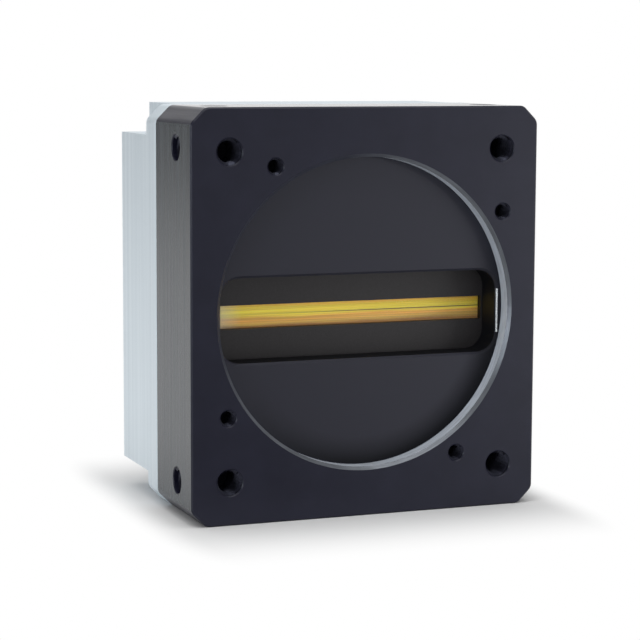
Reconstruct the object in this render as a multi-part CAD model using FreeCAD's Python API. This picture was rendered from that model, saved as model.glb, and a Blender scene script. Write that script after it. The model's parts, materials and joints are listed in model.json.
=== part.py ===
import FreeCAD, Part
import math
import os

from FreeCAD import Vector

# Line-scan machine vision camera body without its lens adapter.
# X runs across the camera, Z up, and Y from the front face back to the
# connectors. The origin is where the optical axis leaves the front face.
# All lengths are in millimetres.

# ---- Body outline -----------------------------------------------------
width = 56.0
height = 62.0
band_depth = 5.0            # full-outline front band of the housing
tail_depth = 13.9           # notched rear stretch of the housing
corner_chamfer = 2.35
corner_round = 1.5          # softens both ends of each corner chamfer
edge_break = 0.25           # small chamfer along the outer edges
notch_width = 4.6           # corner notches of the rear stretch
notch_height = 4.7
notch_round = 0.6
housing_wall = 2.0
rear_wall = 2.5

# ---- Lens recess and sensor window ------------------------------------
recess_bore = 47.0
recess_chamfer = 0.5
recess_depth = 2.6
window_margin = 1.0         # recess wall to the window's end
window_height = 12.8
window_corner = 3.0
window_edge = 0.35          # chamfer round the window's mouth
window_drop = 0.75          # window centre below the optical axis
window_depth = 4.8          # recess floor to the sensor mask

# ---- Threaded holes ----------------------------------------------------
m4_thread = 4.0
m4_sink = 0.15              # countersink beyond the thread, per side
front_inset_x = 6.0         # front corner holes, from the outline
front_inset_z = 6.5
front_hole_depth = 6.5
side_hole_back = 7.1        # side, top and bottom holes, from the front
side_inset_z = 6.0
top_inset_x = 6.0
edge_hole_depth = 3.8
lens_thread = 2.5           # four holes round the recess
fine_sink = 0.15            # countersink of the M2.5 and M2 threads
drill_angle = 118.0         # included angle of the drill's point
lens_hole_offset = 3.25     # recess bore to the hole circle, radially
lens_hole_turn = 33.7       # degrees from the X axis
lens_hole_depth = 4.0

# ---- Sensor stack, in the bay behind the window ------------------------
mask_lap = 1.5              # mask beyond the window's ends
mask_lap_z = 3.1
mask_thickness = 1.0
mask_corner = 1.5
aperture_margin = 0.3       # window end to the mask's slot
aperture_height = 3.6
glass_border = 1.3          # cover glass beyond the slot
glass_thickness = 0.7
glass_corner = 0.5
glass_edge = 0.14
die_border = 0.8            # silicon beyond the slot
die_border_z = 0.5
die_thickness = 0.6
die_sink = 0.2              # package face to the silicon's face
package_height = 15.0
package_depth = 2.8
package_corner = 0.75
pin_diameter = 0.46
pin_pitch = 2.54
pin_row_inset = 1.6
pin_row_end = 1.8           # package's end to the last pin, at least
pin_standoff = 1.4          # package back to the sensor board
pin_tail = 0.6
bay_height = 39.0
bay_corner = 3.0
board_recess = 2.1          # sensor board's back to the module's rear face
fit_gap = 0.2               # loose pieces to the walls round them

# ---- Circuit boards ----------------------------------------------------
board_thickness = 1.6
board_gap = 0.8             # boards to the housing's walls
board_corner = 1.5
processor_gap = 2.1         # module's rear face to the processor board
mezzanine_reach = 0.8       # tongue of one connector half in the other
mezzanine_length = 26.0
mezzanine_width = 5.0
mezzanine_lip = 0.9
mezzanine_corner = 0.4
mezzanine_inset = 1.2       # connector to the board's long edge
board_screw = 2.0
screw_gap = 0.05            # thread in its hole, per side
screw_clear = 0.15          # shank through a plain hole, per side
screw_bite = 5.0            # length of thread held
screw_head_radius = 1.9
screw_head_height = 1.3
screw_head_edge = 0.4
hex_socket = 1.25           # across flats
hex_socket_depth = 0.8
boss_radius = 2.5
bay_boss_inset = 1.2        # boss edge in from the bay's wall
board_hole_inset = 0.4      # boss edge in from the board's edge
spacer_length = 3.6
spacer_radius = 2.1
chip_size = 19.0
chip_height = 2.0
memory_width = 9.0
memory_length = 13.0
memory_height = 1.1
chip_clearance = 2.2        # between neighbouring chips
chip_corner = 0.3
chip_edge = 0.15

# ---- Network jack -------------------------------------------------------
jack_drop = 21.0            # top of the camera to the jack's centre
jack_width = 16.0
jack_height = 13.4
jack_proud = 3.0            # beyond the rear face
shield_sheet = 0.3
shield_corner = 0.6
plug_width = 11.9
plug_height = 6.8
latch_width = 6.2
latch_height = 2.4
plug_depth = 10.4
contact_count = 8
contact_pitch = 1.02
contact_size = 0.36
contact_drop = 1.6          # slant of each spring wire, mouth to tip
contact_setback = 2.0       # outer face to the wires' roots
contact_slot = 1.0          # slots in the end wall that guide the tips
lock_screw_spacing = 21.0
lock_screw = 2.0
wall_clearance = 0.3        # pieces that pass through the rear wall

# ---- Round receptacles --------------------------------------------------
receptacle_rise = 16.0      # foot of the camera to the receptacles' centres
receptacle_inset = 16.5     # centre from the camera's side
receptacle_proud = 12.9     # beyond the rear face
io_diameter = 12.4
io_ring_pins = 9
io_ring_radius = 3.5
io_centre_pins = 3
io_centre_radius = 1.4
power_diameter = 9.6
power_ring_pins = 5         # round one more pin at the centre
power_ring_radius = 2.5
shell_wall = 0.9
shell_flange = 1.5          # flange beyond the shell, radially
flange_thickness = 1.2
insert_sink = 8.8           # rim to the insulator's face
contact_reach = 4.2         # pins beyond the insulator's face
contact_radius = 0.35
contact_nose = 0.18
lock_groove = 0.35          # depth of the push-pull groove
groove_width = 1.2
groove_slope = 0.3
groove_sink = 3.2           # rim to the groove's far side
rim_taper = 0.5             # outer edge of the rim, lengthwise
rim_round = 0.3             # both edges of the rim, radially
keyway_count = 5
keyway_radius = 0.6
insert_edge = 0.2

# ---- Status light -------------------------------------------------------
light_drop = 1.5            # below the middle between jack and receptacles
light_radius = 1.25
light_proud = 0.3
light_dome = 0.24
collar_lip = 0.6            # collar behind the rear wall
collar_thickness = 1.0
led_width = 2.5
led_depth = 2.0
led_height = 0.8

# ---- Housing screws -----------------------------------------------------
housing_screw = 2.0
flat_head_radius = 1.8
notch_margin = 0.2          # screw head to the notch's walls

# ---- Levels along Y, worked out from the front face --------------------
mask_front = recess_depth + window_depth
mask_back = mask_front + mask_thickness
package_front = mask_back + fit_gap / 2 + glass_thickness
package_back = package_front + package_depth
sensor_board_front = package_back + pin_standoff
sensor_board_back = sensor_board_front + board_thickness
module_depth = sensor_board_back + board_recess
band_back = module_depth + band_depth
rear_face = band_back + tail_depth
rear_inside = rear_face - rear_wall
processor_front = module_depth + processor_gap
near_joint = (sensor_board_back + processor_front) / 2
processor_back = processor_front + board_thickness
interface_front = processor_back + spacer_length
interface_back = interface_front + board_thickness
far_joint = (processor_back + interface_front) / 2
jack_back = rear_face + jack_proud
plug_floor = jack_back - plug_depth
receptacle_back = rear_face + receptacle_proud
insert_face = receptacle_back - insert_sink

# ---- Heights of what the rear wall carries ------------------------------
jack_z = height / 2 - jack_drop
receptacle_z = receptacle_rise - height / 2
light_z = (jack_z + receptacle_z) / 2 - light_drop

# ---- Sizes worked out across the camera --------------------------------
window_length = recess_bore - 2 * window_margin
aperture_length = window_length - 2 * aperture_margin
mask_length = window_length + 2 * mask_lap
mask_height = window_height + 2 * mask_lap_z
bay_width = mask_length + 2 * fit_gap
package_length = mask_length - 2 * fit_gap
pin_count = 1 + int((package_length - 2 * pin_row_end) / pin_pitch)
glass_length = aperture_length + 2 * glass_border
glass_height = aperture_height + 2 * glass_border
die_length = aperture_length + 2 * die_border
die_height = aperture_height + 2 * die_border_z
sensor_board_width = bay_width - 2 * fit_gap
sensor_board_height = bay_height - 2 * fit_gap
bay_boss_x = bay_width / 2 - bay_boss_inset - boss_radius
bay_boss_z = bay_height / 2 - bay_boss_inset - boss_radius
inside_width = width - 2 * housing_wall
inside_height = height - 2 * housing_wall
waist_width = inside_width - 2 * notch_width
waist_height = inside_height - 2 * notch_height
board_width = inside_width - 2 * board_gap
board_height = waist_height - 2 * board_gap
board_hole_x = board_width / 2 - boss_radius - board_hole_inset
board_hole_z = board_height / 2 - boss_radius - board_hole_inset
notch_screw_x = width / 2 - notch_width + flat_head_radius + notch_margin
notch_screw_z = height / 2 - notch_height + flat_head_radius + notch_margin
receptacle_x = width / 2 - receptacle_inset
mezzanine_near = mezzanine_inset + mezzanine_width / 2 - sensor_board_height / 2
mezzanine_far = board_height / 2 - mezzanine_inset - mezzanine_width / 2

FOUR_CORNERS = [(sx, sz) for sx in (-1, 1) for sz in (-1, 1)]
TO_BACK = Vector(0, 1, 0)
TO_FRONT = Vector(0, -1, 0)


# ---- Shapes that the pieces share --------------------------------------
def prism(outline, y0, y1):
    """Extrude a closed outline of (x, z) points from y0 to y1."""
    corners = [Vector(x, y0, z) for x, z in outline]
    face = Part.Face(Part.makePolygon(corners + corners[:1]))
    return face.extrude(Vector(0, y1 - y0, 0))


def rectangle(size_x, size_z, x=0.0, z=0.0):
    a, b = size_x / 2, size_z / 2
    return [(x - a, z - b), (x + a, z - b), (x + a, z + b), (x - a, z + b)]


def edges_along_y(solid):
    found = []
    for edge in solid.Edges:
        first, last = edge.Vertexes[0].Point, edge.Vertexes[-1].Point
        run = last - first
        if run.Length > 0 and abs(abs(run.y) - run.Length) < 1e-6:
            found.append(edge)
    return found


def plate(size_x, size_z, y0, y1, x=0.0, z=0.0, corner=0.0):
    """A flat block between two levels, its four long corners rounded."""
    solid = prism(rectangle(size_x, size_z, x, z), y0, y1)
    if corner > 0:
        solid = solid.makeFillet(corner, edges_along_y(solid))
    return solid


def rod(radius, y0, y1, x=0.0, z=0.0):
    return Part.makeCylinder(radius, y1 - y0, Vector(x, y0, z), TO_BACK)


def ring(outer, inner, y0, y1, x=0.0, z=0.0):
    return rod(outer, y0, y1, x, z).cut(rod(inner, y0, y1, x, z))


def turned(profile, x=0.0, z=0.0):
    """Revolve (radius, y) points about an axis along Y."""
    points = [Vector(x + radius, y, z) for radius, y in profile]
    face = Part.Face(Part.makePolygon(points + points[:1]))
    return face.revolve(Vector(x, 0, z), TO_BACK, 360)


def rim_edges(solid, level):
    """Edges of a solid that lie in the plane y = level."""
    return [edge for edge in solid.Edges
            if abs(edge.BoundBox.YMin - level) < 1e-6
            and abs(edge.BoundBox.YMax - level) < 1e-6]


def tapped_hole(mouth, inward, thread, depth, sink):
    """Cutter for a blind threaded hole with a drill point and countersink."""
    radius = thread / 2
    point = radius / math.tan(math.radians(drill_angle / 2))
    cutter = Part.makeCylinder(radius, depth, mouth, inward)
    tip = Part.makeCone(radius, 0, point, mouth + inward * depth, inward)
    mouth_cone = Part.makeCone(radius + sink, radius, sink, mouth, inward)
    return cutter.fuse([tip, mouth_cone])


def hexagon(across_flats, x, z):
    radius = across_flats / math.sqrt(3)
    return [(x + radius * math.cos(math.radians(60 * k)),
             z + radius * math.sin(math.radians(60 * k))) for k in range(6)]


def board_cap_screw(x, z, seat, tip, out):
    """Socket head screw: seat is the level under its head, tip its far
    end, and out is +1 or -1 as the head points to the back or the front."""
    low, high = sorted((seat, tip))
    shank = rod(board_screw / 2 - screw_gap, low, high, x, z)
    top = seat + out * screw_head_height
    head_low, head_high = sorted((seat, top))
    head = rod(screw_head_radius, head_low, head_high, x, z)
    head = head.makeChamfer(screw_head_edge, rim_edges(head, top))
    socket_low, socket_high = sorted((top, top - out * hex_socket_depth))
    socket = prism(hexagon(hex_socket, x, z), socket_low, socket_high)
    return head.fuse(shank).cut(socket).removeSplitter()


def on_circle(count, radius, x, z, start=90.0):
    return [(x + radius * math.cos(math.radians(start + 360 * k / count)),
             z + radius * math.sin(math.radians(start + 360 * k / count)))
            for k in range(count)]


# ---- Outlines of the body ----------------------------------------------
def chamfered_block(y0, y1):
    """The full outline with its four softened corner chamfers."""
    a, b, c = width / 2, height / 2, corner_chamfer
    outline = [(a - c, -b), (a, -b + c), (a, b - c), (a - c, b),
               (-a + c, b), (-a, b - c), (-a, -b + c), (-a + c, -b)]
    solid = prism(outline, y0, y1)
    return solid.makeFillet(corner_round, edges_along_y(solid))


def notched_block(y0, y1):
    """The rear stretch: the full outline less a square notch per corner."""
    outline = []
    a, b = width / 2, height / 2
    for sx, sz, across in ((1, -1, True), (1, 1, False),
                           (-1, 1, True), (-1, -1, False)):
        near = [(sx * (a - notch_width), sz * b),
                (sx * (a - notch_width), sz * (b - notch_height)),
                (sx * a, sz * (b - notch_height))]
        outline += near if across else near[::-1]
    solid = prism(outline, y0, y1)
    inner = [edge for edge in edges_along_y(solid)
             if abs(abs(edge.Vertexes[0].X) - (a - notch_width)) < 1e-6
             and abs(abs(edge.Vertexes[0].Z) - (b - notch_height)) < 1e-6]
    return solid.makeFillet(notch_round, inner)


# ---- Front module -------------------------------------------------------
def front_hole_cutters():
    x = width / 2 - front_inset_x
    z = height / 2 - front_inset_z
    return [tapped_hole(Vector(sx * x, 0, sz * z), TO_BACK,
                        m4_thread, front_hole_depth, m4_sink)
            for sx, sz in FOUR_CORNERS]


def edge_hole_cutters():
    """Two threaded holes in each side, in the top and in the bottom."""
    cutters = []
    for sx, sz in FOUR_CORNERS:
        side = Vector(sx * width / 2, side_hole_back,
                      sz * (height / 2 - side_inset_z))
        cutters.append(tapped_hole(side, Vector(-sx, 0, 0),
                                   m4_thread, edge_hole_depth, m4_sink))
        end = Vector(sx * (width / 2 - top_inset_x), side_hole_back,
                     sz * height / 2)
        cutters.append(tapped_hole(end, Vector(0, 0, -sz),
                                   m4_thread, edge_hole_depth, m4_sink))
    return cutters


def lens_hole_cutters():
    circle = recess_bore / 2 + lens_hole_offset
    places = on_circle(4, circle, 0, 0, start=lens_hole_turn)
    return [tapped_hole(Vector(x, 0, z), TO_BACK,
                        lens_thread, lens_hole_depth, fine_sink)
            for x, z in places]


def recess_cutter():
    """Round lens recess with its chamfered mouth, as one turned tool."""
    radius = recess_bore / 2
    return turned([(0, 0), (radius + recess_chamfer, 0),
                   (radius, recess_chamfer), (radius, recess_depth),
                   (0, recess_depth)])


def open_window(solid):
    """Mill the sensor window into the recess floor and break its mouth."""
    hole = plate(window_length, window_height, recess_depth, mask_front,
                 z=-window_drop, corner=window_corner)
    solid = solid.cut(hole)
    mouth = [edge for edge in rim_edges(solid, recess_depth)
             if edge.BoundBox.ZLength < window_height]
    return solid.makeChamfer(window_edge, mouth)


def make_front_module():
    solid = chamfered_block(0, module_depth)
    solid = solid.makeChamfer(edge_break, rim_edges(solid, 0))
    solid = open_window(solid.cut(recess_cutter()))
    bay = plate(bay_width, bay_height, mask_front, module_depth,
                corner=bay_corner)
    for sx, sz in FOUR_CORNERS:
        x, z = sx * bay_boss_x, sz * bay_boss_z
        reach = boss_radius + bay_boss_inset
        corner_post = plate(reach, reach, mask_front, sensor_board_front,
                            x=x + sx * reach / 2, z=z + sz * reach / 2)
        post = rod(boss_radius, mask_front, sensor_board_front, x, z)
        bay = bay.cut(post.fuse(corner_post))
    cutters = [bay] + front_hole_cutters() + edge_hole_cutters()
    cutters += lens_hole_cutters()
    for sx, sz in FOUR_CORNERS:
        cutters.append(rod(board_screw / 2, sensor_board_front - screw_bite,
                           sensor_board_front, sx * bay_boss_x,
                           sz * bay_boss_z))
        cutters.append(rod(housing_screw / 2, module_depth - screw_bite,
                           module_depth, sx * notch_screw_x,
                           sz * notch_screw_z))
    for cutter in cutters:
        solid = solid.cut(cutter)
    return solid.removeSplitter()


# ---- Sensor stack --------------------------------------------------------
def make_sensor_mask():
    sheet = plate(mask_length, mask_height, mask_front, mask_back,
                  z=-window_drop, corner=mask_corner)
    slot = plate(aperture_length, aperture_height, mask_front, mask_back,
                 z=-window_drop)
    return sheet.cut(slot)


def make_sensor_gasket():
    outer = plate(package_length, package_height, mask_back, package_front,
                  z=-window_drop, corner=package_corner)
    inner = plate(glass_length + 2 * fit_gap, glass_height + 2 * fit_gap,
                  mask_back, package_front, z=-window_drop,
                  corner=glass_corner + fit_gap)
    return outer.cut(inner)


def make_sensor_glass():
    pane = plate(glass_length, glass_height,
                 package_front - glass_thickness, package_front,
                 z=-window_drop, corner=glass_corner)
    front = rim_edges(pane, package_front - glass_thickness)
    return pane.makeChamfer(glass_edge, front)


def make_sensor_die():
    front = package_front + die_sink
    return plate(die_length, die_height, front, front + die_thickness,
                 z=-window_drop)


def pin_places():
    """Pin centres: two long rows under the package's edges."""
    first = -(pin_count - 1) * pin_pitch / 2
    row = package_height / 2 - pin_row_inset
    return [(first + k * pin_pitch, side * row - window_drop)
            for side in (-1, 1) for k in range(pin_count)]


def make_sensor_package():
    body = plate(package_length, package_height, package_front, package_back,
                 z=-window_drop, corner=package_corner)
    well = plate(die_length + 2 * fit_gap, die_height + 2 * fit_gap,
                 package_front, package_front + die_sink + die_thickness,
                 z=-window_drop)
    return body.cut(well)


def make_sensor_pins():
    radius = pin_diameter / 2
    return Part.makeCompound(
        [rod(radius, package_back, sensor_board_back + pin_tail, x, z)
         for x, z in pin_places()])


def make_sensor_board():
    board = plate(sensor_board_width, sensor_board_height,
                  sensor_board_front, sensor_board_back,
                  corner=bay_corner - fit_gap)
    holes = [rod(board_screw / 2 + screw_clear, sensor_board_front,
                 sensor_board_back, sx * bay_boss_x, sz * bay_boss_z)
             for sx, sz in FOUR_CORNERS]
    holes += [rod(pin_diameter / 2 + screw_gap, sensor_board_front,
                  sensor_board_back, x, z) for x, z in pin_places()]
    return board.cut(holes)


def make_sensor_board_screws():
    tip = sensor_board_front - screw_bite + screw_clear
    return Part.makeCompound(
        [board_cap_screw(sx * bay_boss_x, sz * bay_boss_z,
                         sensor_board_back, tip, out=1)
         for sx, sz in FOUR_CORNERS])


# ---- Board stack ----------------------------------------------------------
def mezzanine_plug(y0, y1, z):
    """Header half: a tub whose rim faces the mating half at y1."""
    tub = plate(mezzanine_length, mezzanine_width, y0, y1, z=z,
                corner=mezzanine_corner)
    hollow = plate(mezzanine_length - 2 * mezzanine_lip,
                   mezzanine_width - 2 * mezzanine_lip,
                   y1 - mezzanine_reach - fit_gap, y1, z=z)
    return tub.cut(hollow)


def mezzanine_socket(y0, y1, z):
    """Receptacle half: a block with a tongue that enters the tub."""
    block = plate(mezzanine_length, mezzanine_width, y0, y1, z=z,
                  corner=mezzanine_corner)
    tongue_side = mezzanine_lip + fit_gap
    tongue = plate(mezzanine_length - 2 * tongue_side,
                   mezzanine_width - 2 * tongue_side,
                   y0 - mezzanine_reach, y0, z=z)
    return block.fuse(tongue).removeSplitter()


def board_with_holes(y0, y1):
    board = plate(board_width, board_height, y0, y1, corner=board_corner)
    holes = [rod(board_screw / 2 + screw_clear, y0, y1,
                 sx * board_hole_x, sz * board_hole_z)
             for sx, sz in FOUR_CORNERS]
    return board.cut(holes)


def make_processor_board():
    return board_with_holes(processor_front, processor_back)


def make_processor_chip():
    chip = plate(chip_size, chip_size, processor_back,
                 processor_back + chip_height, corner=chip_corner)
    top = rim_edges(chip, processor_back + chip_height)
    return chip.makeChamfer(chip_edge, top)


def make_memory_chips():
    x = chip_size / 2 + chip_clearance + memory_width / 2
    return Part.makeCompound(
        [plate(memory_width, memory_length, processor_back,
               processor_back + memory_height, x=side * x,
               corner=chip_corner)
         for side in (-1, 1)])


def make_board_spacers():
    inner = board_screw / 2 + screw_clear
    return Part.makeCompound(
        [ring(spacer_radius, inner, processor_back, interface_front,
              sx * board_hole_x, sz * board_hole_z)
         for sx, sz in FOUR_CORNERS])


def make_board_screws():
    tip = interface_back + screw_bite - screw_clear
    return Part.makeCompound(
        [board_cap_screw(sx * board_hole_x, sz * board_hole_z,
                         processor_front, tip, out=-1)
         for sx, sz in FOUR_CORNERS])


def make_interface_board():
    board = board_with_holes(interface_front, interface_back)
    holes = [rod(contact_radius + screw_gap, interface_front,
                 interface_back, x, z)
             for x, z in io_pin_places() + power_pin_places()]
    return board.cut(holes)


# ---- Housing ---------------------------------------------------------------
def make_housing():
    band = chamfered_block(module_depth, band_back)
    band = band.makeChamfer(edge_break, rim_edges(band, module_depth))
    tail = notched_block(band_back, rear_face)
    tail = tail.makeChamfer(edge_break, rim_edges(tail, rear_face))
    solid = band.fuse(tail)
    hollow = plate(inside_width, waist_height, module_depth, rear_inside,
                   corner=board_corner)
    hollow = hollow.fuse(plate(waist_width, inside_height, module_depth,
                               rear_inside, corner=board_corner))
    for sx, sz in FOUR_CORNERS:
        hollow = hollow.cut(rod(boss_radius, interface_back, rear_inside,
                                sx * board_hole_x, sz * board_hole_z))
    cutters = [hollow]
    for sx, sz in FOUR_CORNERS:
        cutters.append(rod(board_screw / 2, interface_back,
                           interface_back + screw_bite,
                           sx * board_hole_x, sz * board_hole_z))
        cutters.append(flat_head_tool(sx * notch_screw_x, sz * notch_screw_z))
    cutters.append(plate(jack_width + 2 * wall_clearance,
                         jack_height + 2 * wall_clearance,
                         rear_inside, rear_face, z=jack_z,
                         corner=shield_corner + wall_clearance))
    for side, diameter in ((-1, io_diameter), (1, power_diameter)):
        cutters.append(rod(diameter / 2 + wall_clearance / 2, rear_inside,
                           rear_face, side * receptacle_x, receptacle_z))
    cutters.append(rod(light_radius + wall_clearance / 2, rear_inside,
                       rear_face, 0, light_z))
    for side in (-1, 1):
        mouth = Vector(side * lock_screw_spacing / 2, rear_face, jack_z)
        lock_hole = tapped_hole(mouth, TO_FRONT, lock_screw,
                                rear_wall, fine_sink)
        cutters.append(lock_hole)
    for cutter in cutters:
        solid = solid.cut(cutter)
    return solid.removeSplitter()


def flat_head_tool(x, z):
    """Clearance hole with a flush seat for a flat head, on the ledge."""
    shank = housing_screw / 2 + screw_clear
    depth = flat_head_radius - shank
    seat = Part.makeCone(flat_head_radius, shank, depth,
                         Vector(x, band_back, z), TO_FRONT)
    return seat.fuse(rod(shank, module_depth, band_back, x, z))


def make_housing_screws():
    screws = []
    shank = housing_screw / 2 - screw_gap
    depth = flat_head_radius - housing_screw / 2 - screw_clear
    tip = module_depth - screw_bite + screw_clear
    for sx, sz in FOUR_CORNERS:
        x, z = sx * notch_screw_x, sz * notch_screw_z
        foot = flat_head_radius - depth
        head = Part.makeCone(flat_head_radius - screw_gap,
                             foot - screw_gap, depth,
                             Vector(x, band_back, z), TO_FRONT)
        body = head.fuse(rod(shank, tip, band_back, x, z))
        socket = prism(hexagon(hex_socket, x, z),
                       band_back - hex_socket_depth, band_back)
        screws.append(body.cut(socket).removeSplitter())
    return Part.makeCompound(screws)


# ---- Network jack -----------------------------------------------------------
def plug_outline():
    """Mouth of the jack: a wide slot with a stepped latch channel."""
    a, b = plug_width / 2, plug_height / 2
    c, d = latch_width / 2, latch_height
    return [(-a, jack_z - b), (-c, jack_z - b), (-c, jack_z - b - d),
            (c, jack_z - b - d), (c, jack_z - b), (a, jack_z - b),
            (a, jack_z + b), (-a, jack_z + b)]


def make_jack_shield():
    outer = plate(jack_width, jack_height, interface_back, jack_back,
                  z=jack_z, corner=shield_corner)
    inner = plate(jack_width - 2 * shield_sheet,
                  jack_height - 2 * shield_sheet,
                  interface_back, jack_back - shield_sheet, z=jack_z)
    mouth = prism(plug_outline(), jack_back - shield_sheet, jack_back)
    return outer.cut([inner, mouth])


def make_jack_insert():
    side = 2 * (shield_sheet + screw_gap)
    body = plate(jack_width - side, jack_height - side, interface_back,
                 jack_back - shield_sheet - screw_gap, z=jack_z)
    cavity = prism(plug_outline(), plug_floor, jack_back)
    comb = [plate(contact_size + fit_gap, plug_height / 2,
                  plug_floor - contact_slot - fit_gap, plug_floor,
                  x=x, z=jack_z + plug_height / 4)
            for x in contact_places()]
    return body.cut([cavity] + comb)


def contact_places():
    first = -(contact_count - 1) * contact_pitch / 2
    return [first + k * contact_pitch for k in range(contact_count)]


def make_jack_contacts():
    """Eight gold spring wires that slant from the roof into the mouth."""
    roof = jack_z + plug_height / 2
    tip, foot = plug_floor - contact_slot, jack_back - contact_setback
    thick = contact_size
    side = [(foot, roof), (foot - thick, roof), (tip, roof - contact_drop),
            (tip, roof - contact_drop - thick), (foot, roof - thick)]
    wires = []
    for x in contact_places():
        wall = [Vector(x - thick / 2, y, z) for y, z in side]
        face = Part.Face(Part.makePolygon(wall + wall[:1]))
        wires.append(face.extrude(Vector(thick, 0, 0)))
    return Part.makeCompound(wires)


# ---- Round receptacles -------------------------------------------------------
def io_pin_places():
    x, z = -receptacle_x, receptacle_z
    return (on_circle(io_ring_pins, io_ring_radius, x, z)
            + on_circle(io_centre_pins, io_centre_radius, x, z))


def power_pin_places():
    x, z = receptacle_x, receptacle_z
    return on_circle(power_ring_pins, power_ring_radius, x, z) + [(x, z)]


def receptacle_shell(x, diameter):
    """Turned shell: a flange behind the rear wall, a grooved mating bore."""
    outer = diameter / 2
    bore = outer - shell_wall
    flange = outer + shell_flange
    start = interface_back + fit_gap
    groove = receptacle_back - groove_sink
    profile = [(bore, start), (outer, start),
               (outer, rear_inside - flange_thickness),
               (flange, rear_inside - flange_thickness),
               (flange, rear_inside), (outer, rear_inside),
               (outer, receptacle_back - rim_taper),
               (outer - rim_round, receptacle_back),
               (bore + rim_round, receptacle_back),
               (bore, receptacle_back - rim_round),
               (bore, groove + groove_width),
               (bore + lock_groove, groove + groove_width - groove_slope),
               (bore + lock_groove, groove + groove_slope), (bore, groove)]
    shell = turned(profile, x, receptacle_z)
    keys = [rod(keyway_radius, insert_face, receptacle_back, px, pz)
            for px, pz in on_circle(keyway_count, bore, x, receptacle_z)]
    return shell.cut(keys)


def receptacle_insert(x, diameter, places):
    bore = diameter / 2 - shell_wall - screw_gap
    body = rod(bore, interface_back, insert_face, x, receptacle_z)
    body = body.makeChamfer(insert_edge, rim_edges(body, insert_face))
    holes = [rod(contact_radius + screw_gap, interface_back, insert_face,
                 px, pz) for px, pz in places]
    return body.cut(holes)


def receptacle_pins(places):
    """Contact pins with tapered noses, soldered into the board."""
    tail = interface_front - pin_tail
    tip = insert_face + contact_reach
    pins = []
    for x, z in places:
        pin = rod(contact_radius, tail, tip, x, z)
        nose = rim_edges(pin, tip)
        pins.append(pin.makeChamfer(contact_nose, nose))
    return Part.makeCompound(pins)


# ---- Status light -------------------------------------------------------------
def make_status_led():
    return plate(led_width, led_depth, interface_back,
                 interface_back + led_height, z=light_z)


def make_light_pipe():
    """Clear pipe from the lamp on the board to a domed tip outside."""
    start = interface_back + led_height + fit_gap
    stop = rear_face + light_proud
    pipe = rod(light_radius, start, stop, 0, light_z)
    collar = rod(light_radius + collar_lip, rear_inside - collar_thickness,
                 rear_inside, 0, light_z)
    pipe = pipe.fuse(collar).removeSplitter()
    return pipe.makeFillet(light_dome, rim_edges(pipe, stop))


# ---- The whole camera ------------------------------------------------------------
NODES = {
    "front_module": make_front_module,
    "sensor_mask": make_sensor_mask,
    "sensor_gasket": make_sensor_gasket,
    "sensor_glass": make_sensor_glass,
    "sensor_die": make_sensor_die,
    "sensor_package": make_sensor_package,
    "sensor_pins": make_sensor_pins,
    "sensor_board": make_sensor_board,
    "sensor_board_screws": make_sensor_board_screws,
    "sensor_board_plug": lambda: mezzanine_plug(
        sensor_board_back, near_joint, mezzanine_near),
    "processor_board_socket": lambda: mezzanine_socket(
        near_joint, processor_front, mezzanine_near),
    "processor_board": make_processor_board,
    "processor_chip": make_processor_chip,
    "memory_chips": make_memory_chips,
    "processor_board_plug": lambda: mezzanine_plug(
        processor_back, far_joint, mezzanine_far),
    "interface_board_socket": lambda: mezzanine_socket(
        far_joint, interface_front, mezzanine_far),
    "board_spacers": make_board_spacers,
    "board_screws": make_board_screws,
    "interface_board": make_interface_board,
    "housing": make_housing,
    "housing_screws": make_housing_screws,
    "jack_shield": make_jack_shield,
    "jack_insert": make_jack_insert,
    "jack_contacts": make_jack_contacts,
    "io_shell": lambda: receptacle_shell(-receptacle_x, io_diameter),
    "io_insert": lambda: receptacle_insert(
        -receptacle_x, io_diameter, io_pin_places()),
    "io_pins": lambda: receptacle_pins(io_pin_places()),
    "power_shell": lambda: receptacle_shell(receptacle_x, power_diameter),
    "power_insert": lambda: receptacle_insert(
        receptacle_x, power_diameter, power_pin_places()),
    "power_pins": lambda: receptacle_pins(power_pin_places()),
    "status_led": make_status_led,
    "light_pipe": make_light_pipe,
}

os.makedirs("parts", exist_ok=True)
for name, make in NODES.items():
    shape = make()
    if not shape.isValid():
        raise ValueError(name + " is not a valid shape")
    shape.exportStep("parts/" + name + ".step")
    box = shape.BoundBox
    print("%-24s solids %2d  volume %9.1f  x %6.2f..%6.2f  y %6.2f..%6.2f"
          "  z %6.2f..%6.2f" % (name, len(shape.Solids), shape.Volume,
                                box.XMin, box.XMax, box.YMin, box.YMax,
                                box.ZMin, box.ZMax))
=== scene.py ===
import json
import math

import bmesh
import bpy
from mathutils import Matrix, Vector


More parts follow.
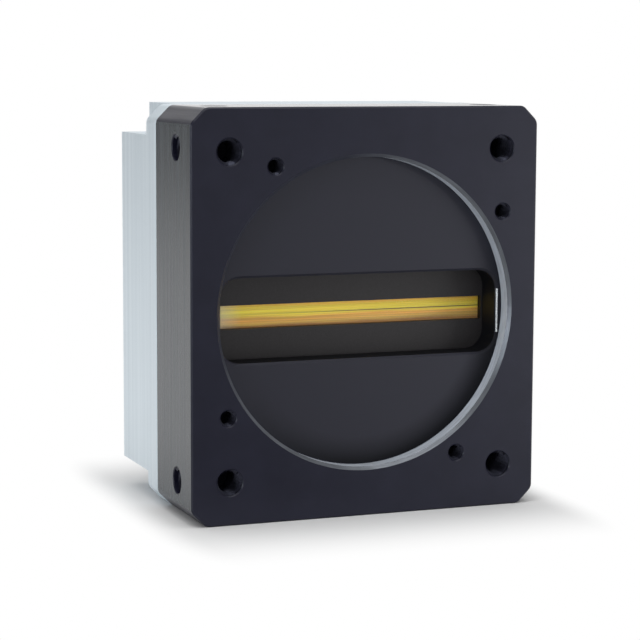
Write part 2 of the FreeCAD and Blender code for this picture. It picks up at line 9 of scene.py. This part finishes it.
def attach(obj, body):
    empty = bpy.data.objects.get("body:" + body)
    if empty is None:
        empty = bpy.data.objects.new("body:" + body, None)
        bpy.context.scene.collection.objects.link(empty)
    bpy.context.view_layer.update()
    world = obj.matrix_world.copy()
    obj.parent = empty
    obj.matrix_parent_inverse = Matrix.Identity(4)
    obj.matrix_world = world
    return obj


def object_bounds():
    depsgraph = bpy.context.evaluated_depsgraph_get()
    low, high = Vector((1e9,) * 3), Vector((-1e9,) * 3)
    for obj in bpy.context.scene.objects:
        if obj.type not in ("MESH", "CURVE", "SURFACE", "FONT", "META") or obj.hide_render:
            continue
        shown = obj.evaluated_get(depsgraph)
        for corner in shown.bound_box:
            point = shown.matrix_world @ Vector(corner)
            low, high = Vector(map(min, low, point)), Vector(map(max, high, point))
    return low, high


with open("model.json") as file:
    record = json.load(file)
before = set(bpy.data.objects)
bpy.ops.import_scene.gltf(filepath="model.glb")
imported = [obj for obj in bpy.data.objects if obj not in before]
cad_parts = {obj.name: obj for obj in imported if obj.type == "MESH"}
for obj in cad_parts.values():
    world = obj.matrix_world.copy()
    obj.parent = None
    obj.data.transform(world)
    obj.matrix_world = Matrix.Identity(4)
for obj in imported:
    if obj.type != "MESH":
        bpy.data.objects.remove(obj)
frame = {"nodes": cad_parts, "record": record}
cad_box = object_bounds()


# ---- Front module -----------------------------------------------------------
# One block of aluminium, milled all over, with a turned lens recess and a
# milled sensor window, then dyed black in the anodising bath. The turned
# wall of the recess, its chamfer and the window's ends are painted pale
# grey as painted reflections and highlights; the recess floor beside the
# wall and the walls inside the holes are painted darker as painted shade.
def new_finish(name, colour, metallic, roughness):
    material = bpy.data.materials.new(name)
    material.use_nodes = True
    shader = material.node_tree.nodes["Principled BSDF"]
    shader.inputs["Base Color"].default_value = (*colour, 1.0)
    shader.inputs["Metallic"].default_value = metallic
    shader.inputs["Roughness"].default_value = roughness
    return material, shader


def node(material, kind, settings=None, **sockets):
    """A new node, its sockets set to numbers or joined to other nodes."""
    new = material.node_tree.nodes.new("ShaderNode" + kind)
    for key, value in (settings or {}).items():
        setattr(new, key, value)
    for key, value in sockets.items():
        names = [s.name.replace(" ", "_") for s in new.inputs]
        socket = new.inputs[int(key[1:]) if key[1:].isdigit()
                            else names.index(key)]
        if isinstance(value, bpy.types.NodeSocket):
            material.node_tree.links.new(value, socket)
        else:
            socket.default_value = value
    return new


def join(material, output, socket):
    material.node_tree.links.new(output, socket)


def place(material):
    """Object coordinates, in metres, with the origin on the optical axis."""
    return node(material, "TexCoord").outputs["Object"]


def split(material, vector):
    """The three numbers of a vector."""
    return node(material, "SeparateXYZ", Vector=vector).outputs[:]


def facing(material):
    """The way that the surface faces, as three numbers."""
    return split(material, node(material, "NewGeometry").outputs["Normal"])


def grain(material, stretch, low, high, detail=3.0):
    """Noise between two values; stretch holds the cells per metre."""
    mapped = node(material, "Mapping", Vector=place(material), Scale=stretch)
    noise = node(material, "TexNoise", Vector=mapped.outputs["Vector"],
                 Scale=1.0, Detail=detail, Roughness=0.6)
    return rise(material, noise.outputs["Fac"], 0.3, 0.7, low, high)


def rise(material, value, start, stop, low=0.0, high=1.0):
    """Go from low to high while a value goes from start to stop."""
    ranged = node(material, "MapRange", Value=value, From_Min=start,
                  From_Max=stop, To_Min=low, To_Max=high)
    return ranged.outputs["Result"]


def math_node(material, operation, first, second=0.0, third=0.0):
    made = node(material, "Math", {"operation": operation},
                _0=first, _1=second, _2=third)
    return made.outputs["Value"]


def times(material, first, *others):
    """The product of two or more numbers; of masks, where all hold."""
    for other in others:
        first = math_node(material, "MULTIPLY", first, other)
    return first


def size_of(material, value):
    return math_node(material, "ABSOLUTE", value)


def over(material, value, limit):
    """1 where a value is more than a limit, otherwise 0."""
    return math_node(material, "GREATER_THAN", value, limit)


def under(material, value, limit):
    """1 where a value is less than a limit, otherwise 0."""
    return math_node(material, "LESS_THAN", value, limit)


def between(material, value, low, high):
    """1 where a value lies between two limits, otherwise 0."""
    return times(material, over(material, value, low),
                 under(material, value, high))


def distance(material, first, second):
    """How far off a point is that lies first one way and second across."""
    squares = math_node(material, "ADD", times(material, first, first),
                        times(material, second, second))
    return math_node(material, "SQRT", squares)


def blend(material, factor, first, second):
    """Mix two colours; each is a tuple or another node's output."""
    mixed = material.node_tree.nodes.new("ShaderNodeMix")
    mixed.data_type = "RGBA"
    for socket, value in ((mixed.inputs[0], factor), (mixed.inputs[6], first),
                          (mixed.inputs[7], second)):
        if isinstance(value, bpy.types.NodeSocket):
            join(material, value, socket)
        elif isinstance(value, tuple):
            socket.default_value = (*value, 1.0)
        else:
            socket.default_value = value
    return mixed.outputs[2]


def scaled(material, colour, factor):
    """A colour made brighter or darker by a number."""
    return node(material, "VectorMath", {"operation": "SCALE"},
                _0=colour, Scale=factor).outputs["Vector"]


def choose(material, factor, first, second):
    """Mix two numbers; each is a number or another node's output."""
    span = math_node(material, "SUBTRACT", second, first)
    return math_node(material, "MULTIPLY_ADD", factor, span, first)


def raise_grain(material, shader, height, depth):
    bump = node(material, "Bump", Height=height, Distance=depth, Strength=1.0)
    join(material, bump.outputs["Normal"], shader.inputs["Normal"])


def dress(name, material):
    """Give a node from the frame its finish."""
    piece = frame["nodes"][name]
    piece.data.materials.clear()
    piece.data.materials.append(material)
    return piece


half_width = cad_box[1][0]
half_height = cad_box[1][2]
face_margin = 0.0025
recess_radius = 0.0235
recess_rim = 0.02405
recess_floor = 0.0026
shade_start = 0.0192
shade_end = 0.0232
window_edge_end = 0.00280
window_end = 0.0224
window_middle = -0.00075
window_straight = 0.0034
nearly = 0.0001
black_dye = (0.0050, 0.0052, 0.0160)
black_dye_worn = (0.0080, 0.0083, 0.0215)
# Lighter greys for the side faces, with mill marks between them: a painted sheen.
side_dark = (0.021, 0.025, 0.029)
side_sheen = (0.050, 0.059, 0.066)
recess_grey = (0.0165, 0.0165, 0.0265)
# Near black for painted shade: the recess floor by the wall, inner walls.
painted_shade = (0.0015, 0.0015, 0.0030)
# Pale grey for the turned wall: a painted reflection.
reflection_grey = (0.50, 0.54, 0.60)
# Grey for the recess chamfer: a painted highlight.
rim_highlight_grey = (0.160, 0.172, 0.192)
# Pale metal grey for the window's ends: a painted highlight.
reflection_grey_edge = (0.50, 0.51, 0.52)

black, shader = new_finish("anodised_black", black_dye, 0.0, 0.4)
shader.inputs["Specular IOR Level"].default_value = 0.38
shader.inputs["Specular Tint"].default_value = (0.93, 0.95, 1.0, 1.0)
x, y, z = split(black, place(black))
facing_x, facing_y, facing_z = facing(black)
radius = distance(black, x, z)


def toward(along_x, along_z):
    """How much a point lies toward one side of the optical axis."""
    reach = math_node(black, "MULTIPLY_ADD", x, along_x,
                      times(black, z, along_z))
    return math_node(black, "DIVIDE", reach, radius)


# The turned wall, painted pale grey: a painted reflection. Its chamfer
# holds a painted highlight, brightest at the lower right.
round_wall = times(
    black,
    between(black, radius, recess_radius - nearly, recess_radius + nearly),
    under(black, y, recess_floor + nearly),
    between(black, facing_y, -0.3, 0.3))
sloping = between(black, facing_y, -0.9, -0.4)
# The chamfer's painted highlight grows toward the lower right.
rim_highlight_arc = rise(black, toward(0.7, -0.5), -0.6, -0.1, 0.1, 1.0)
rim_chamfer = times(black, sloping, rim_highlight_arc,
                    between(black, radius, recess_radius, recess_rim))

# The window's ends along their straight part, painted pale metal grey: a
# painted highlight on their broken edge.
end_height = size_of(black, math_node(black, "SUBTRACT", z, window_middle))
window_edge = times(
    black, sloping,
    between(black, y, recess_floor - nearly, window_edge_end),
    over(black, size_of(black, x), window_end),
    under(black, end_height, window_straight))

# The recess floor, painted darker beside the wall at the lower right: a
# painted shadow of the wall.
floor_area = times(black, under(black, radius, recess_radius - nearly),
                   over(black, y, recess_floor - 2 * nearly))
wall_shade = times(black, rise(black, radius, shade_start, shade_end, 0, 0.95),
                   rise(black, toward(0.5, -0.85), 0.0, 0.8))

# The outer faces, and all walls inside the holes, the window and the bay;
# the inner walls are painted near black as painted shade.
sideways = over(black, size_of(black, facing_x), 0.95)
level_face = over(black, size_of(black, facing_z), 0.95)
corner_face = between(
    black, size_of(black, times(black, facing_x, facing_z)), 0.25, 1.0)
near_outside = math_node(
    black, "MAXIMUM",
    math_node(black, "SUBTRACT", size_of(black, x), half_width - face_margin),
    math_node(black, "SUBTRACT", size_of(black, z), half_height - face_margin))
behind_recess = over(black, y, recess_floor + 4 * nearly)
in_face_hole = times(black, over(black, radius, recess_rim),
                     over(black, y, 2 * nearly))
inner_wall = times(
    black, between(black, facing_y, -0.3, 0.99),
    under(black, near_outside, 0.0),
    math_node(black, "MAXIMUM", behind_recess, in_face_hole))

cloud = grain(black, (180, 180, 180), 0.0, 1.0)
mill_marks = grain(black, (1400, 1400, 18), 0.0, 1.0, 2.0)
corner_marks = grain(black, (900, 30, 900), 0.0, 1.0, 2.0)
turned_streaks = grain(black, (300, 4200, 300), 0.8, 1.2, 2.0)
dye = blend(black, cloud, black_dye, black_dye_worn)
# Over the dye: a painted sheen on the side faces, painted shade on the recess floor and
# inner walls, and painted highlights and reflections on the turned wall, its chamfer and
# the window's ends.
for area, colour in (
        (sideways, blend(black, mill_marks, side_dark, side_sheen)),
        (floor_area, blend(black, wall_shade, recess_grey, painted_shade)),
        (inner_wall, painted_shade),
        (round_wall, scaled(black, reflection_grey, turned_streaks)),
        (rim_chamfer, scaled(black, rim_highlight_grey, turned_streaks)),
        (window_edge, reflection_grey_edge)):
    dye = blend(black, area, dye, colour)
join(black, dye, shader.inputs["Base Color"])

# Metal under the painted highlights and reflections, so they catch the lamps.
highlight_metal = times(black, window_edge, 0.9)
for area, share in ((round_wall, 0.1), (rim_chamfer, 0.6)):
    highlight_metal = math_node(black, "MULTIPLY_ADD", area, share, highlight_metal)
join(black, highlight_metal, shader.inputs["Metallic"])

rough = grain(black, (160, 5200, 5200), 0.33, 0.48)
for area, level in (
        (sideways, choose(black, mill_marks, 0.20, 0.34)),
        (corner_face, choose(black, corner_marks, 0.28, 0.40)),
        (level_face, 0.12),
        (floor_area, choose(black, wall_shade, 0.5, 0.9)),
        (inner_wall, 0.55), (rim_chamfer, 0.35), (window_edge, 0.2),
        (round_wall, 0.45)):
    rough = choose(black, area, rough, level)
join(black, rough, shader.inputs["Roughness"])
raise_grain(black, shader, grain(black, (6500, 6500, 6500), 0.0, 1.0),
            0.000003)
dress("front_module", black)


# ---- Threads of the module's holes ------------------------------------------
# Cut threads in the blind holes: M4 in the corners, sides, top and bottom,
# M2.5 round the recess. Each is one helical ridge with a flat crest that
# stands in from the hole's wall.
def thread_ridge(bm, mouth, inward, bore, pitch, length):
    """One helical ridge in a hole that opens at mouth and runs inward."""
    steps = 24
    turns = length / pitch
    height = 0.54 * pitch
    sunk = 0.00001
    profile = [(bore + sunk, -0.44 * pitch), (bore - height, -0.08 * pitch),
               (bore - height, 0.08 * pitch), (bore + sunk, 0.44 * pitch)]
    inward = Vector(inward)
    across = inward.orthogonal().normalized()
    start = Vector(mouth) + inward * (0.75 * pitch)
    loop = [bm.verts.new(start + across * r + inward * t) for r, t in profile]
    edges = [bm.edges.new((loop[k - 1], loop[k])) for k in range(len(loop))]
    bmesh.ops.spin(bm, geom=loop + edges, cent=start, axis=inward,
                   dvec=inward * (pitch / steps),
                   angle=2 * math.pi * turns, steps=round(steps * turns),
                   use_merge=False, use_duplicate=False)


def finish_mesh(bm, name, material):
    """Turn a bmesh into a piece that rides on the camera's body."""
    bmesh.ops.holes_fill(bm, edges=[e for e in bm.edges if e.is_boundary])
    bmesh.ops.recalc_face_normals(bm, faces=bm.faces)
    mesh = bpy.data.meshes.new(name)
    bm.to_mesh(mesh)
    bm.free()
    mesh.materials.append(material)
    piece = bpy.data.objects.new(name, mesh)
    bpy.context.scene.collection.objects.link(piece)
    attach(piece, "root")
    return piece


cut_thread, shader = new_finish("cut_thread", (0.005, 0.005, 0.008), 0.0, 0.2)
shader.inputs["Specular Tint"].default_value = (0.68, 0.72, 1.0, 1.0)
tool_mark = grain(cut_thread, (4000, 4000, 4000), 0.0, 1.0)
join(cut_thread, blend(cut_thread, tool_mark, (0.0030, 0.0030, 0.0060),
                       (0.0110, 0.0110, 0.0170)), shader.inputs["Base Color"])
join(cut_thread, choose(cut_thread, tool_mark, 0.16, 0.26),
     shader.inputs["Roughness"])

mounts = {m["name"]: m for m in frame["record"]["mounts"]}
both = (-1, 1)
front = mounts["front_screws"]["dims"]
across = front["spacing_x_mm"] / 2000
above = front["spacing_y_mm"] / 2000
end_across = mounts["top_screws"]["dims"]["spacing_x_mm"] / 2000
edge_hole_back = mounts["top_screws"]["pos_m"][1]
side_hole_height = 0.025
m4_bore = 0.0020
m4_pitch = 0.0007
front_thread = 0.0058
edge_thread = 0.0032
m25_bore = 0.00125
m25_pitch = 0.00045
lens_screw_thread = 0.0034

bm = bmesh.new()
for sx in both:
    for sz in both:
        thread_ridge(bm, (sx * across, 0, sz * above), (0, 1, 0),
                     m4_bore, m4_pitch, front_thread)
finish_mesh(bm, "front_screw_threads", cut_thread)

bm = bmesh.new()
for sx in both:
    for sz in both:
        thread_ridge(bm, (sx * half_width, edge_hole_back,
                          sz * side_hole_height), (-sx, 0, 0),
                     m4_bore, m4_pitch, edge_thread)
        thread_ridge(bm, (sx * end_across, edge_hole_back,
                          sz * half_height), (0, 0, -sz),
                     m4_bore, m4_pitch, edge_thread)
finish_mesh(bm, "edge_screw_threads", cut_thread)

bm = bmesh.new()
circle = mounts["lens_screws"]["dims"]["pcd_mm"] / 2000
first_turn = math.radians(33.7)
for k in range(4):
    turn = first_turn + k * math.pi / 2
    thread_ridge(bm, (circle * math.cos(turn), 0, circle * math.sin(turn)),
                 (0, 1, 0), m25_bore, m25_pitch, lens_screw_thread)
finish_mesh(bm, "lens_screw_threads", cut_thread)


# ---- Sensor mask and gasket -------------------------------------------------
# A thin black sheet with one long slot closes the window down to the line
# of silicon behind it. It is blackened matt so that it throws no stray
# light, and a black rubber frame seals it to the sensor's package.
mask_black, shader = new_finish("mask_black", (0.014, 0.013, 0.013), 0.0, 0.5)
shader.inputs["Specular IOR Level"].default_value = 0.35
speck = grain(mask_black, (4000, 4000, 4000), 0.0, 1.0)
# The slot's walls are painted almost black: painted shade in the slot.
slot_wall = between(mask_black, facing(mask_black)[1], -0.5, 0.5)
matt_tone = blend(mask_black, speck, (0.0220, 0.0200, 0.0215),
                  (0.0285, 0.0262, 0.0280))
join(mask_black, blend(mask_black, slot_wall, matt_tone,
                       (0.001, 0.001, 0.001)), shader.inputs["Base Color"])
raise_grain(mask_black, shader, speck, 0.000003)
dress("sensor_mask", mask_black)

seal_rubber, shader = new_finish("seal_rubber", (0.02, 0.02, 0.02), 0.0, 0.75)
pores = grain(seal_rubber, (2500, 2500, 2500), 0.0, 1.0)
join(seal_rubber, blend(seal_rubber, pores, (0.016, 0.016, 0.016),
                        (0.028, 0.028, 0.027)), shader.inputs["Base Color"])
raise_grain(seal_rubber, shader, pores, 0.00001)
dress("sensor_gasket", seal_rubber)


# ---- Sensor cover glass, silicon and package --------------------------------
# A long strip of silicon with two rows of cells lies in a dark ceramic
# package under a coated cover glass. Its metal layers shine gold, with
# fine lines along its length and a dark gap between the rows. Its left
# end is painted pale: a painted reflection.
cover_glass, shader = new_finish("cover_glass", (0.90, 0.95, 0.88), 0.0, 0.04)
shader.inputs["Alpha"].default_value = 0.03
haze = grain(cover_glass, (300, 300, 300), 0.02, 0.05)
join(cover_glass, haze, shader.inputs["Roughness"])
shader.inputs["IOR"].default_value = 1.5
dress("sensor_glass", cover_glass)

sensor_gold, shader = new_finish("sensor_gold", (0.9, 0.6, 0.1), 0.1, 0.4)
silicon_foot = -0.00255
silicon_top = 0.00165
gap_foot = -0.00071
gap_top = -0.00059
end_reflection_reach = (-0.0225, -0.0170)
x, y, z = split(sensor_gold, place(sensor_gold))
level = rise(sensor_gold, z, silicon_foot, silicon_top)
wander = grain(sensor_gold, (45, 1, 900), -0.09, 0.09, 2.0)
ramp = node(sensor_gold, "ValToRGB",
            Fac=math_node(sensor_gold, "ADD", level, wander))
bands = ramp.color_ramp
bands.elements[0].position = 0.0
bands.elements[0].color = (0.62, 0.28, 0.07, 1)
bands.elements[1].position = 1.0
bands.elements[1].color = (1.00, 0.74, 0.20, 1)
for spot, colour in ((0.14, (0.92, 0.56, 0.09, 1)),
                     (0.30, (0.95, 0.46, 0.06, 1)),
                     (0.42, (0.98, 0.70, 0.05, 1)),
                     (0.52, (1.00, 0.80, 0.04, 1)),
                     (0.66, (1.00, 0.72, 0.03, 1)),
                     (0.82, (1.00, 0.52, 0.05, 1))):
    bands.elements.new(spot).color = colour
lines = grain(sensor_gold, (30, 1, 5000), 0.75, 1.30, 3.0)
tone = scaled(sensor_gold, ramp.outputs["Color"], lines)
gap = times(sensor_gold, between(sensor_gold, z, gap_foot, gap_top),
            rise(sensor_gold, x, -0.012, 0.004, 0.2, 1.0))
tone = blend(sensor_gold, gap, tone, (0.05, 0.02, 0.01))
# The left end is painted pale: a painted reflection.
end_reflection = rise(sensor_gold, x, *end_reflection_reach, 0.85, 0.0)
tone = blend(sensor_gold, end_reflection, tone, (0.88, 0.84, 0.60))
join(sensor_gold, tone, shader.inputs["Base Color"])
raise_grain(sensor_gold, shader, lines, 0.000002)
dress("sensor_die", sensor_gold)

package_ceramic, shader = new_finish("package_ceramic", (0.1, 0.09, 0.085),
                                     0.0, 0.6)
kiln = grain(package_ceramic, (1500, 1500, 1500), 0.0, 1.0)
join(package_ceramic, blend(package_ceramic, kiln, (0.085, 0.075, 0.07),
                            (0.12, 0.11, 0.105)), shader.inputs["Base Color"])
raise_grain(package_ceramic, shader, kiln, 0.000008)
dress("sensor_package", package_ceramic)

gold_plate, shader = new_finish("gold_plate", (0.83, 0.62, 0.26), 1.0, 0.25)
wear = grain(gold_plate, (2600, 2600, 2600), 0.0, 1.0)
join(gold_plate, blend(gold_plate, wear, (0.80, 0.58, 0.22),
                       (0.90, 0.72, 0.36)), shader.inputs["Base Color"])
join(gold_plate, choose(gold_plate, wear, 0.2, 0.34),
     shader.inputs["Roughness"])
for name in ("sensor_pins", "jack_contacts", "io_pins", "power_pins"):
    dress(name, gold_plate)


# ---- Circuit boards ---------------------------------------------------------
# Three glass-fibre boards in green solder mask, stacked on brass spacers,
# with two pairs of moulded connectors between them and the processor and
# memory on the middle one. Small steel screws hold the stack.
board_green, shader = new_finish("board_green", (0.02, 0.12, 0.06), 0.0, 0.4)
mapped = node(board_green, "Mapping", Vector=place(board_green),
              Scale=(500, 500, 500))
tracks = node(board_green, "TexBrick", Vector=mapped.outputs["Vector"],
              Scale=1.0, Mortar_Size=0.06, Color1=(0.016, 0.10, 0.048, 1),
              Color2=(0.022, 0.13, 0.065, 1), Mortar=(0.04, 0.22, 0.10, 1))
weave = grain(board_green, (1200, 1200, 1200), 0.0, 0.4)
join(board_green, blend(board_green, weave, tracks.outputs["Color"],
                        (0.03, 0.15, 0.08)), shader.inputs["Base Color"])
raise_grain(board_green, shader, tracks.outputs["Fac"], 0.00001)
for name in ("sensor_board", "processor_board", "interface_board"):
    dress(name, board_green)

moulded_black, shader = new_finish("moulded_black", (0.028, 0.028, 0.03),
                                   0.0, 0.42)
skin = grain(moulded_black, (3800, 3800, 3800), 0.0, 1.0)
join(moulded_black, blend(moulded_black, skin, (0.022, 0.022, 0.024),
                          (0.036, 0.036, 0.038)), shader.inputs["Base Color"])
join(moulded_black, choose(moulded_black, skin, 0.36, 0.5),
     shader.inputs["Roughness"])
raise_grain(moulded_black, shader, skin, 0.000005)
for name in ("sensor_board_plug", "processor_board_socket",
             "processor_board_plug", "interface_board_socket",
             "jack_insert", "io_insert", "power_insert"):
    dress(name, moulded_black)

chip_black, shader = new_finish("chip_black", (0.03, 0.03, 0.033), 0.0, 0.55)
resin = grain(chip_black, (5200, 5200, 5200), 0.0, 1.0)
join(chip_black, blend(chip_black, resin, (0.024, 0.024, 0.027),
                       (0.042, 0.042, 0.045)), shader.inputs["Base Color"])
raise_grain(chip_black, shader, resin, 0.000006)
for name in ("processor_chip", "memory_chips"):
    dress(name, chip_black)

turned_brass, shader = new_finish("turned_brass", (0.76, 0.56, 0.24), 1.0, 0.3)
tool_lines = grain(turned_brass, (300, 9000, 300), 0.0, 1.0)
join(turned_brass, blend(turned_brass, tool_lines, (0.70, 0.50, 0.20),
                  (0.84, 0.66, 0.32)), shader.inputs["Base Color"])
raise_grain(turned_brass, shader, tool_lines, 0.000003)
dress("board_spacers", turned_brass)

screw_steel, shader = new_finish("screw_steel", (0.5, 0.5, 0.51), 1.0, 0.3)
lathe = grain(screw_steel, (3000, 3000, 3000), 0.0, 1.0)
join(screw_steel, blend(screw_steel, lathe, (0.42, 0.42, 0.43),
                        (0.60, 0.60, 0.61)), shader.inputs["Base Color"])
join(screw_steel, choose(screw_steel, lathe, 0.24, 0.42),
     shader.inputs["Roughness"])
for name in ("sensor_board_screws", "board_screws", "housing_screws"):
    dress(name, screw_steel)


# ---- Housing ----------------------------------------------------------------
# The rear cover: a milled aluminium cup, satin anodised in its natural
# silver, with a full-outline band against the front module and a notched
# rear stretch. Flat screws in the notches draw it to the module.
satin_silver, shader = new_finish("satin_silver", (0.635, 0.71, 0.76),
                                  0.45, 0.45)
sideways = over(satin_silver, size_of(satin_silver, facing(satin_silver)[0]),
                0.9)
streaks = grain(satin_silver, (900, 900, 12), 0.0, 1.0, 3.0)
fine = grain(satin_silver, (5200, 5200, 5200), 0.0, 1.0)
silver = blend(satin_silver, fine, (0.60, 0.675, 0.725), (0.67, 0.745, 0.795))
silver = blend(satin_silver, times(satin_silver, sideways, streaks), silver,
               (0.72, 0.79, 0.835))
join(satin_silver, silver, shader.inputs["Base Color"])
join(satin_silver, choose(satin_silver, fine, 0.40, 0.52),
     shader.inputs["Roughness"])
raise_grain(satin_silver, shader, fine, 0.000004)
dress("housing", satin_silver)


# ---- Rear sockets -----------------------------------------------------------
# A shielded network jack with eight gold spring wires, and two turned and
# plated push-pull receptacles with gold pins in a black insulator. M2
# threads either side of the jack take a plug's locking screws.
nickel, shader = new_finish("nickel_plate", (0.60, 0.59, 0.57), 1.0, 0.28)
turned_line = grain(nickel, (60, 6000, 60), 0.0, 1.0, 2.0)
join(nickel, blend(nickel, turned_line, (0.57, 0.56, 0.54),
                   (0.65, 0.64, 0.62)), shader.inputs["Base Color"])
join(nickel, choose(nickel, turned_line, 0.24, 0.32),
     shader.inputs["Roughness"])
raise_grain(nickel, shader, turned_line, 0.0000006)
for name in ("jack_shield", "io_shell", "power_shell"):
    dress(name, nickel)

m2_bore = 0.0010
m2_pitch = 0.0004
lock_thread = 0.0018
bm = bmesh.new()
lock = mounts["jack_lock_screws"]
for sx in both:
    thread_ridge(bm, (sx * lock["dims"]["spacing_x_mm"] / 2000,
                      lock["pos_m"][1], lock["pos_m"][2]), (0, -1, 0),
                 m2_bore, m2_pitch, lock_thread)
finish_mesh(bm, "lock_screw_threads", satin_silver)


# ---- Status light -----------------------------------------------------------
# A lamp on the rear board and the clear moulded pipe that carries its
# light out through the rear wall.
lamp_body, shader = new_finish("lamp_body", (0.85, 0.85, 0.80), 0.0, 0.35)
mottle = grain(lamp_body, (2000, 2000, 2000), 0.0, 1.0)
join(lamp_body, blend(lamp_body, mottle, (0.80, 0.80, 0.74),
                      (0.90, 0.90, 0.86)), shader.inputs["Base Color"])
dress("status_led", lamp_body)

clear_pipe, shader = new_finish("clear_pipe", (0.60, 0.72, 0.62), 0.0, 0.15)
cloud = grain(clear_pipe, (900, 900, 900), 0.0, 1.0)
join(clear_pipe, blend(clear_pipe, cloud, (0.52, 0.66, 0.55),
                       (0.68, 0.78, 0.70)), shader.inputs["Base Color"])
shader.inputs["Coat Weight"].default_value = 0.5
dress("light_pipe", clear_pipe)


# ---- Studio -----------------------------------------------------------------
# A pale seamless floor, a large soft lamp overhead, a soft box at either
# side and a camera in front, to the left and a little above. Reflections
# see the floor and the world dimmer in places, never above their white.
floor_level = cad_box[0][2]
floor_reach = 3.0
floor_mesh = bpy.data.meshes.new("studio_floor")
bm = bmesh.new()
bmesh.ops.create_grid(bm, x_segments=1, y_segments=1, size=floor_reach)
bmesh.ops.translate(bm, verts=bm.verts, vec=(0, 0, floor_level))
bm.to_mesh(floor_mesh)
bm.free()
studio_floor = bpy.data.objects.new("studio_floor", floor_mesh)
bpy.context.scene.collection.objects.link(studio_floor)

pale_floor = bpy.data.materials.new("pale_floor")
pale_floor.use_nodes = True
pale_floor.node_tree.nodes.clear()
x, y, z = split(pale_floor, place(pale_floor))
spread = node(pale_floor, "VectorMath", {"operation": "LENGTH"},
              _0=place(pale_floor)).outputs["Value"]

# The shadow fades with the distance from the body's footprint, and sooner
# at the sides than before and behind it.
half_depth = 0.018
side_weight = 3.5
shadow_reach = 0.026
beside = math_node(
    pale_floor, "MAXIMUM", 0.0,
    math_node(pale_floor, "MULTIPLY_ADD", size_of(pale_floor, x), side_weight,
              -side_weight * half_width))
from_middle = math_node(pale_floor, "SUBTRACT", y, half_depth)
before = math_node(
    pale_floor, "MAXIMUM", 0.0,
    math_node(pale_floor, "SUBTRACT", size_of(pale_floor, from_middle),
              half_depth))
far = node(pale_floor, "MapRange", {"interpolation_type": "SMOOTHSTEP"},
           Value=distance(pale_floor, beside, before), From_Min=0.0,
           From_Max=shadow_reach, To_Min=0.0, To_Max=1.0).outputs["Result"]

path = node(pale_floor, "LightPath")
seen = math_node(pale_floor, "MAXIMUM", path.outputs["Is Camera Ray"],
                 math_node(pale_floor, "MAXIMUM",
                           path.outputs["Is Glossy Ray"],
                           path.outputs["Is Transmission Ray"]))
matt = node(pale_floor, "BsdfDiffuse", Color=(0.74, 0.74, 0.74, 1.0))
lift = node(pale_floor, "Emission", Color=(1, 1, 1, 1), Strength=1.0)
front_glow = times(pale_floor, rise(pale_floor, x, 0.0, 0.075, 0.25, 1.0),
                   rise(pale_floor, spread, 0.12, 0.5, 1.0, 0.55))
left_glow = rise(pale_floor, spread, 0.3, 1.4, 1.0, 0.15)
to_left = rise(pale_floor, x, -0.01, -0.05)
beyond_front = rise(pale_floor, y, -0.03, 0.02)
to_back = rise(pale_floor, y, 0.04, 0.2)
glow = choose(pale_floor, to_back, front_glow, 1.0)
glow = choose(pale_floor, times(pale_floor, to_left, beyond_front), glow,
              left_glow)
join(pale_floor, choose(pale_floor, path.outputs["Is Glossy Ray"], 1.0, glow),
     lift.inputs["Strength"])
mixed = node(pale_floor, "MixShader", _0=times(pale_floor, seen, far),
             _1=matt.outputs["BSDF"], _2=lift.outputs["Emission"])
node(pale_floor, "OutputMaterial", Surface=mixed.outputs["Shader"])
floor_mesh.materials.append(pale_floor)

world = bpy.data.worlds.new("studio_world")
bpy.context.scene.world = world
world.use_nodes = True
world.node_tree.nodes.clear()
fill_level = 0.55
path = node(world, "LightPath")
seen = math_node(world, "MAXIMUM", path.outputs["Is Camera Ray"],
                 path.outputs["Is Transmission Ray"])
x, y, z = split(world, node(world, "TexCoord").outputs["Generated"])
back_glow = rise(world, y, 0.3, 0.8, 0.4, 1.0)
right_glow = rise(world, x, -0.25, 0.10, 0.25, 1.0)
level = choose(world, path.outputs["Is Glossy Ray"], fill_level,
               times(world, back_glow, right_glow))
around = node(world, "Background", Color=(1, 1, 1, 1), Strength=level)
behind = node(world, "Background", Color=(1, 1, 1, 1), Strength=1.0)
mixed = node(world, "MixShader", _0=seen, _1=around.outputs["Background"],
             _2=behind.outputs["Background"])
node(world, "OutputWorld", Surface=mixed.outputs["Shader"])


def soft_lamp(name, place_at, aim, width, height, power, colour=(1, 1, 1)):
    data = bpy.data.lights.new(name, "AREA")
    data.shape = "RECTANGLE"
    data.size = width
    data.size_y = height
    data.energy = power
    data.color = colour
    lamp = bpy.data.objects.new(name, data)
    lamp.location = place_at
    direction = Vector(aim) - Vector(place_at)
    lamp.rotation_euler = direction.to_track_quat("-Z", "Y").to_euler()
    bpy.context.scene.collection.objects.link(lamp)


soft_lamp("overhead_lamp", (-0.10, -0.10, 0.75), (0, 0, 0), 0.8, 0.8, 3.8)
soft_lamp("left_softbox", (-0.62, -0.26, 0.02), (0, 0, 0),
          0.24, 0.34, 1.6, (0.90, 0.95, 1.0))
soft_lamp("right_softbox", (0.30, -0.22, 0.0), (0, 0, 0), 0.20, 0.06, 0.35)

camera_data = bpy.data.cameras.new("studio_camera")
camera_data.lens = 119.5
camera_data.clip_start = 0.01
camera = bpy.data.objects.new("studio_camera", camera_data)
right = Vector((0.931962, -0.362533, 0.004047))
up = Vector((0.04086, 0.116117, 0.992395))
back = Vector((-0.360246, -0.924709, 0.12303))
turn = Matrix((right, up, back)).transposed()
camera.matrix_world = Matrix.Translation((-0.12209, -0.29339, 0.03832)) \
    @ turn.to_4x4()
bpy.context.scene.collection.objects.link(camera)
bpy.context.scene.camera = camera
bpy.context.scene.view_settings.view_transform = "Standard"
